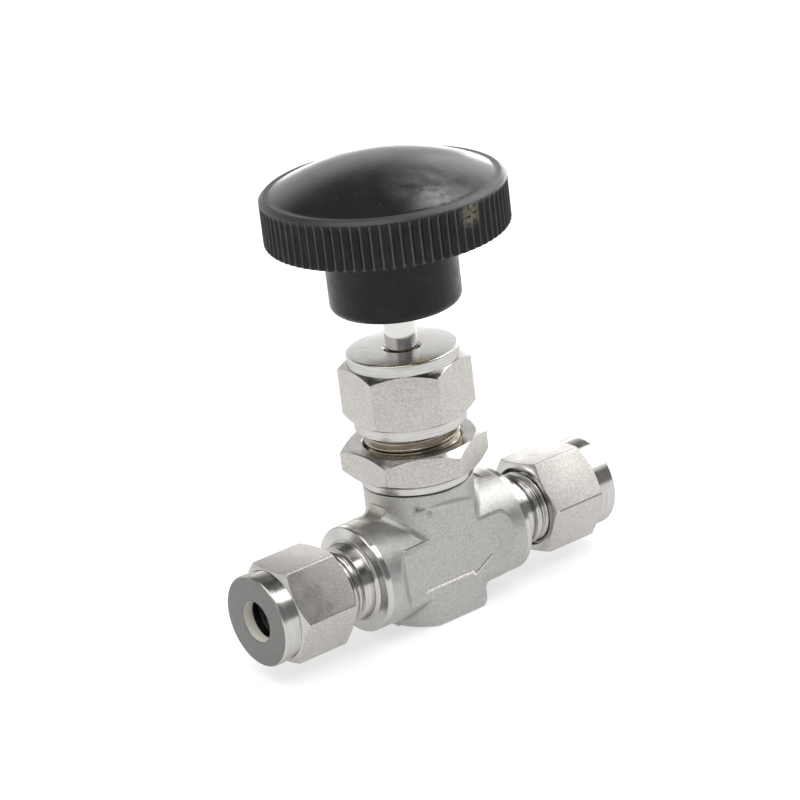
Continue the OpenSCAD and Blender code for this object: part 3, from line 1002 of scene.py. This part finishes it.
def make_world():
    world = bpy.data.worlds.new("studio")
    world.use_nodes = True
    tree = world.node_tree
    place = tree.nodes.new("ShaderNodeTexCoord").outputs["Generated"]

    def lobe(direction, start, full, low, high):
        dot = tree.nodes.new("ShaderNodeVectorMath")
        dot.operation = "DOT_PRODUCT"
        tree.links.new(place, dot.inputs[0])
        dot.inputs[1].default_value = Vector(direction).normalized()
        ramp = tree.nodes.new("ShaderNodeMapRange")
        ramp.interpolation_type = "SMOOTHSTEP"
        ramp.inputs["From Min"].default_value = start
        ramp.inputs["From Max"].default_value = full
        ramp.inputs["To Min"].default_value = low
        ramp.inputs["To Max"].default_value = high
        tree.links.new(dot.outputs["Value"], ramp.inputs["Value"])
        return ramp.outputs["Result"]

    side, start, full, left = DARK_SIDE
    room = tree.nodes.new("ShaderNodeMath")
    room.operation = "MULTIPLY"
    tree.links.new(lobe((0, 0, 1), *CLOTH_TOP, CLOTH_LIGHT, CEILING_LIGHT), room.inputs[0])
    tree.links.new(lobe(side, start, full, 1, left), room.inputs[1])
    total = room.outputs["Value"]
    for direction, start, full, strength in BOXES:
        add = tree.nodes.new("ShaderNodeMath")
        tree.links.new(total, add.inputs[0])
        tree.links.new(lobe(direction, start, full, 0, strength), add.inputs[1])
        total = add.outputs["Value"]
    background = tree.nodes["Background"]
    tree.links.new(total, background.inputs["Strength"])
    background.inputs["Color"].default_value = (1, 0.995, 0.985, 1)
    bpy.context.scene.world = world


def make_studio():
    make_world()
    area_light("overhead", (0.1, 0.0, 1.0), (0, 0, 0), (1.6, 1.6), 8, mirrored=False)
    area_light("right_panel", (0.4, 0.18, 0.06), (0.02, 0, 0.01), (0.3, 0.08), 0.4)
    area_light("back_card", (0.105, 0.135, 0.04), (0.027, 0, 0.015), (0.08, 0.05), 0.022)
    area_light("front_card", (0.137, -0.119, 0.135), (0.025, -0.006, 0.014), (0.06, 0.06), 0.014)
    mesh = bpy.data.meshes.new("floor")
    reach = 4
    corners = [(-reach, -reach, 0), (reach, -reach, 0), (reach, reach, 0), (-reach, reach, 0)]
    mesh.from_pydata(corners, [], [(0, 1, 2, 3)])
    floor = bpy.data.objects.new("floor", mesh)
    floor.location.z = -0.00005
    m = Nodes("floor_paint", (0.35, 0.35, 0.35), 0.0, 0.7)
    m.shader.inputs["Emission Color"].default_value = (1, 1, 1, 1)
    m.shader.inputs["Emission Strength"].default_value = 0.62
    mesh.materials.append(m.material)
    bpy.context.scene.collection.objects.link(floor)


def paint(node, *materials):
    """Gives a CAD node that is still shown its material."""
    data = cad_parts[node].data
    data.materials.clear()
    for material in materials:
        data.materials.append(material)


bpy.context.scene.view_settings.view_transform = "Standard"
make_camera()
make_studio()

FORGED = forged_steel()
FLATS = flat_steel()
TURNED_X = turned_steel("turned_steel_x", 0)
TURNED_Z = turned_steel("turned_steel_z", 2)
MIRROR = mirror_steel()
FACED = faced_steel()
# Partly a cream lubricant coat, partly a painted reflection: the mouth of each tube nut's bore is bright
# cream and not metallic, standing for the white surroundings seen in it
BORE_PAINTED_REFLECTION = plain("bore_wall_painted_reflection", (0.66, 0.64, 0.58), 0.0, 0.6)
# Painted shadow: the deep part of each tube nut's bore is coloured nearly black for the shade inside it
BORE_PAINTED_SHADOW = plain("bore_painted_shadow", (0.1, 0.09, 0.075), 1.0, 0.3)
NECK = turned_steel("neck_steel", 2, (0.5, 0.45, 0.38), 0.24)
BRASS = plain("insert_brass", (0.72, 0.52, 0.22), 1.0, 0.3)
BLACK_STEEL = plain("screw_steel", (0.08, 0.08, 0.085), 1.0, 0.4)
PTFE = plain("packing_ptfe", (0.85, 0.85, 0.82), 0.0, 0.55)

main = forging([FORGED, trimmed_steel(), arrow_highlight_steel()])
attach(main, "valve_body")
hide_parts("body")
neck = body_neck(NECK)
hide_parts("bonnet_neck")
for piece in (body_end(-1, "body_left_end", TURNED_X), body_end(1, "body_right_end", TURNED_X), neck):
    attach(piece, "valve_body")

# Each end's direction, name and angle of a corner of its hexagon, in degrees
ENDS = ((-1, "left", 31.9), (1, "right", 23.8))
for side, word, turn in ENDS:
    nut = tube_nut(side, f"{word}_nut_visual", turn, [TURNED_X, FLATS, FACED, BORE_PAINTED_REFLECTION, BORE_PAINTED_SHADOW])
    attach(nut, f"{word}_nut")
    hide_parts(f"{word}_nut")
    ferrules(side, word, TURNED_X)

nut = packing_nut([TURNED_Z, FLATS, satin_steel()])
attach(nut, "packing_nut")
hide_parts("packing_nut")
nut = panel_nut([TURNED_Z, FLATS])
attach(nut, "panel_nut")
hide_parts("panel_nut")

shaft = stem(MIRROR)
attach(shaft, "handle")
GRIP = side_phenolic("grip_phenolic", (0.004, 0.0045, 0.0055), 0.12)
# Rib crests: rubbed patches and also a painted highlight along each crest
CREST_HIGHLIGHT_AND_RUB = side_phenolic("rib_crest_highlight_phenolic", (0.045, 0.047, 0.05), 1.0)
moulding = knob([phenolic(), rim_wear_and_highlight_phenolic(), GRIP, CREST_HIGHLIGHT_AND_RUB])
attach(moulding, "handle")
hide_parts("knob")

paint("stem", MIRROR)
paint("knob_insert", BRASS)
paint("set_screw", BLACK_STEEL)
for name in ("upper_gland", "lower_gland", "needle_retainer"):
    paint(name, TURNED_Z)
paint("needle", MIRROR)
for name in ("packing_upper", "packing_middle", "packing_lower"):
    paint(name, PTFE)
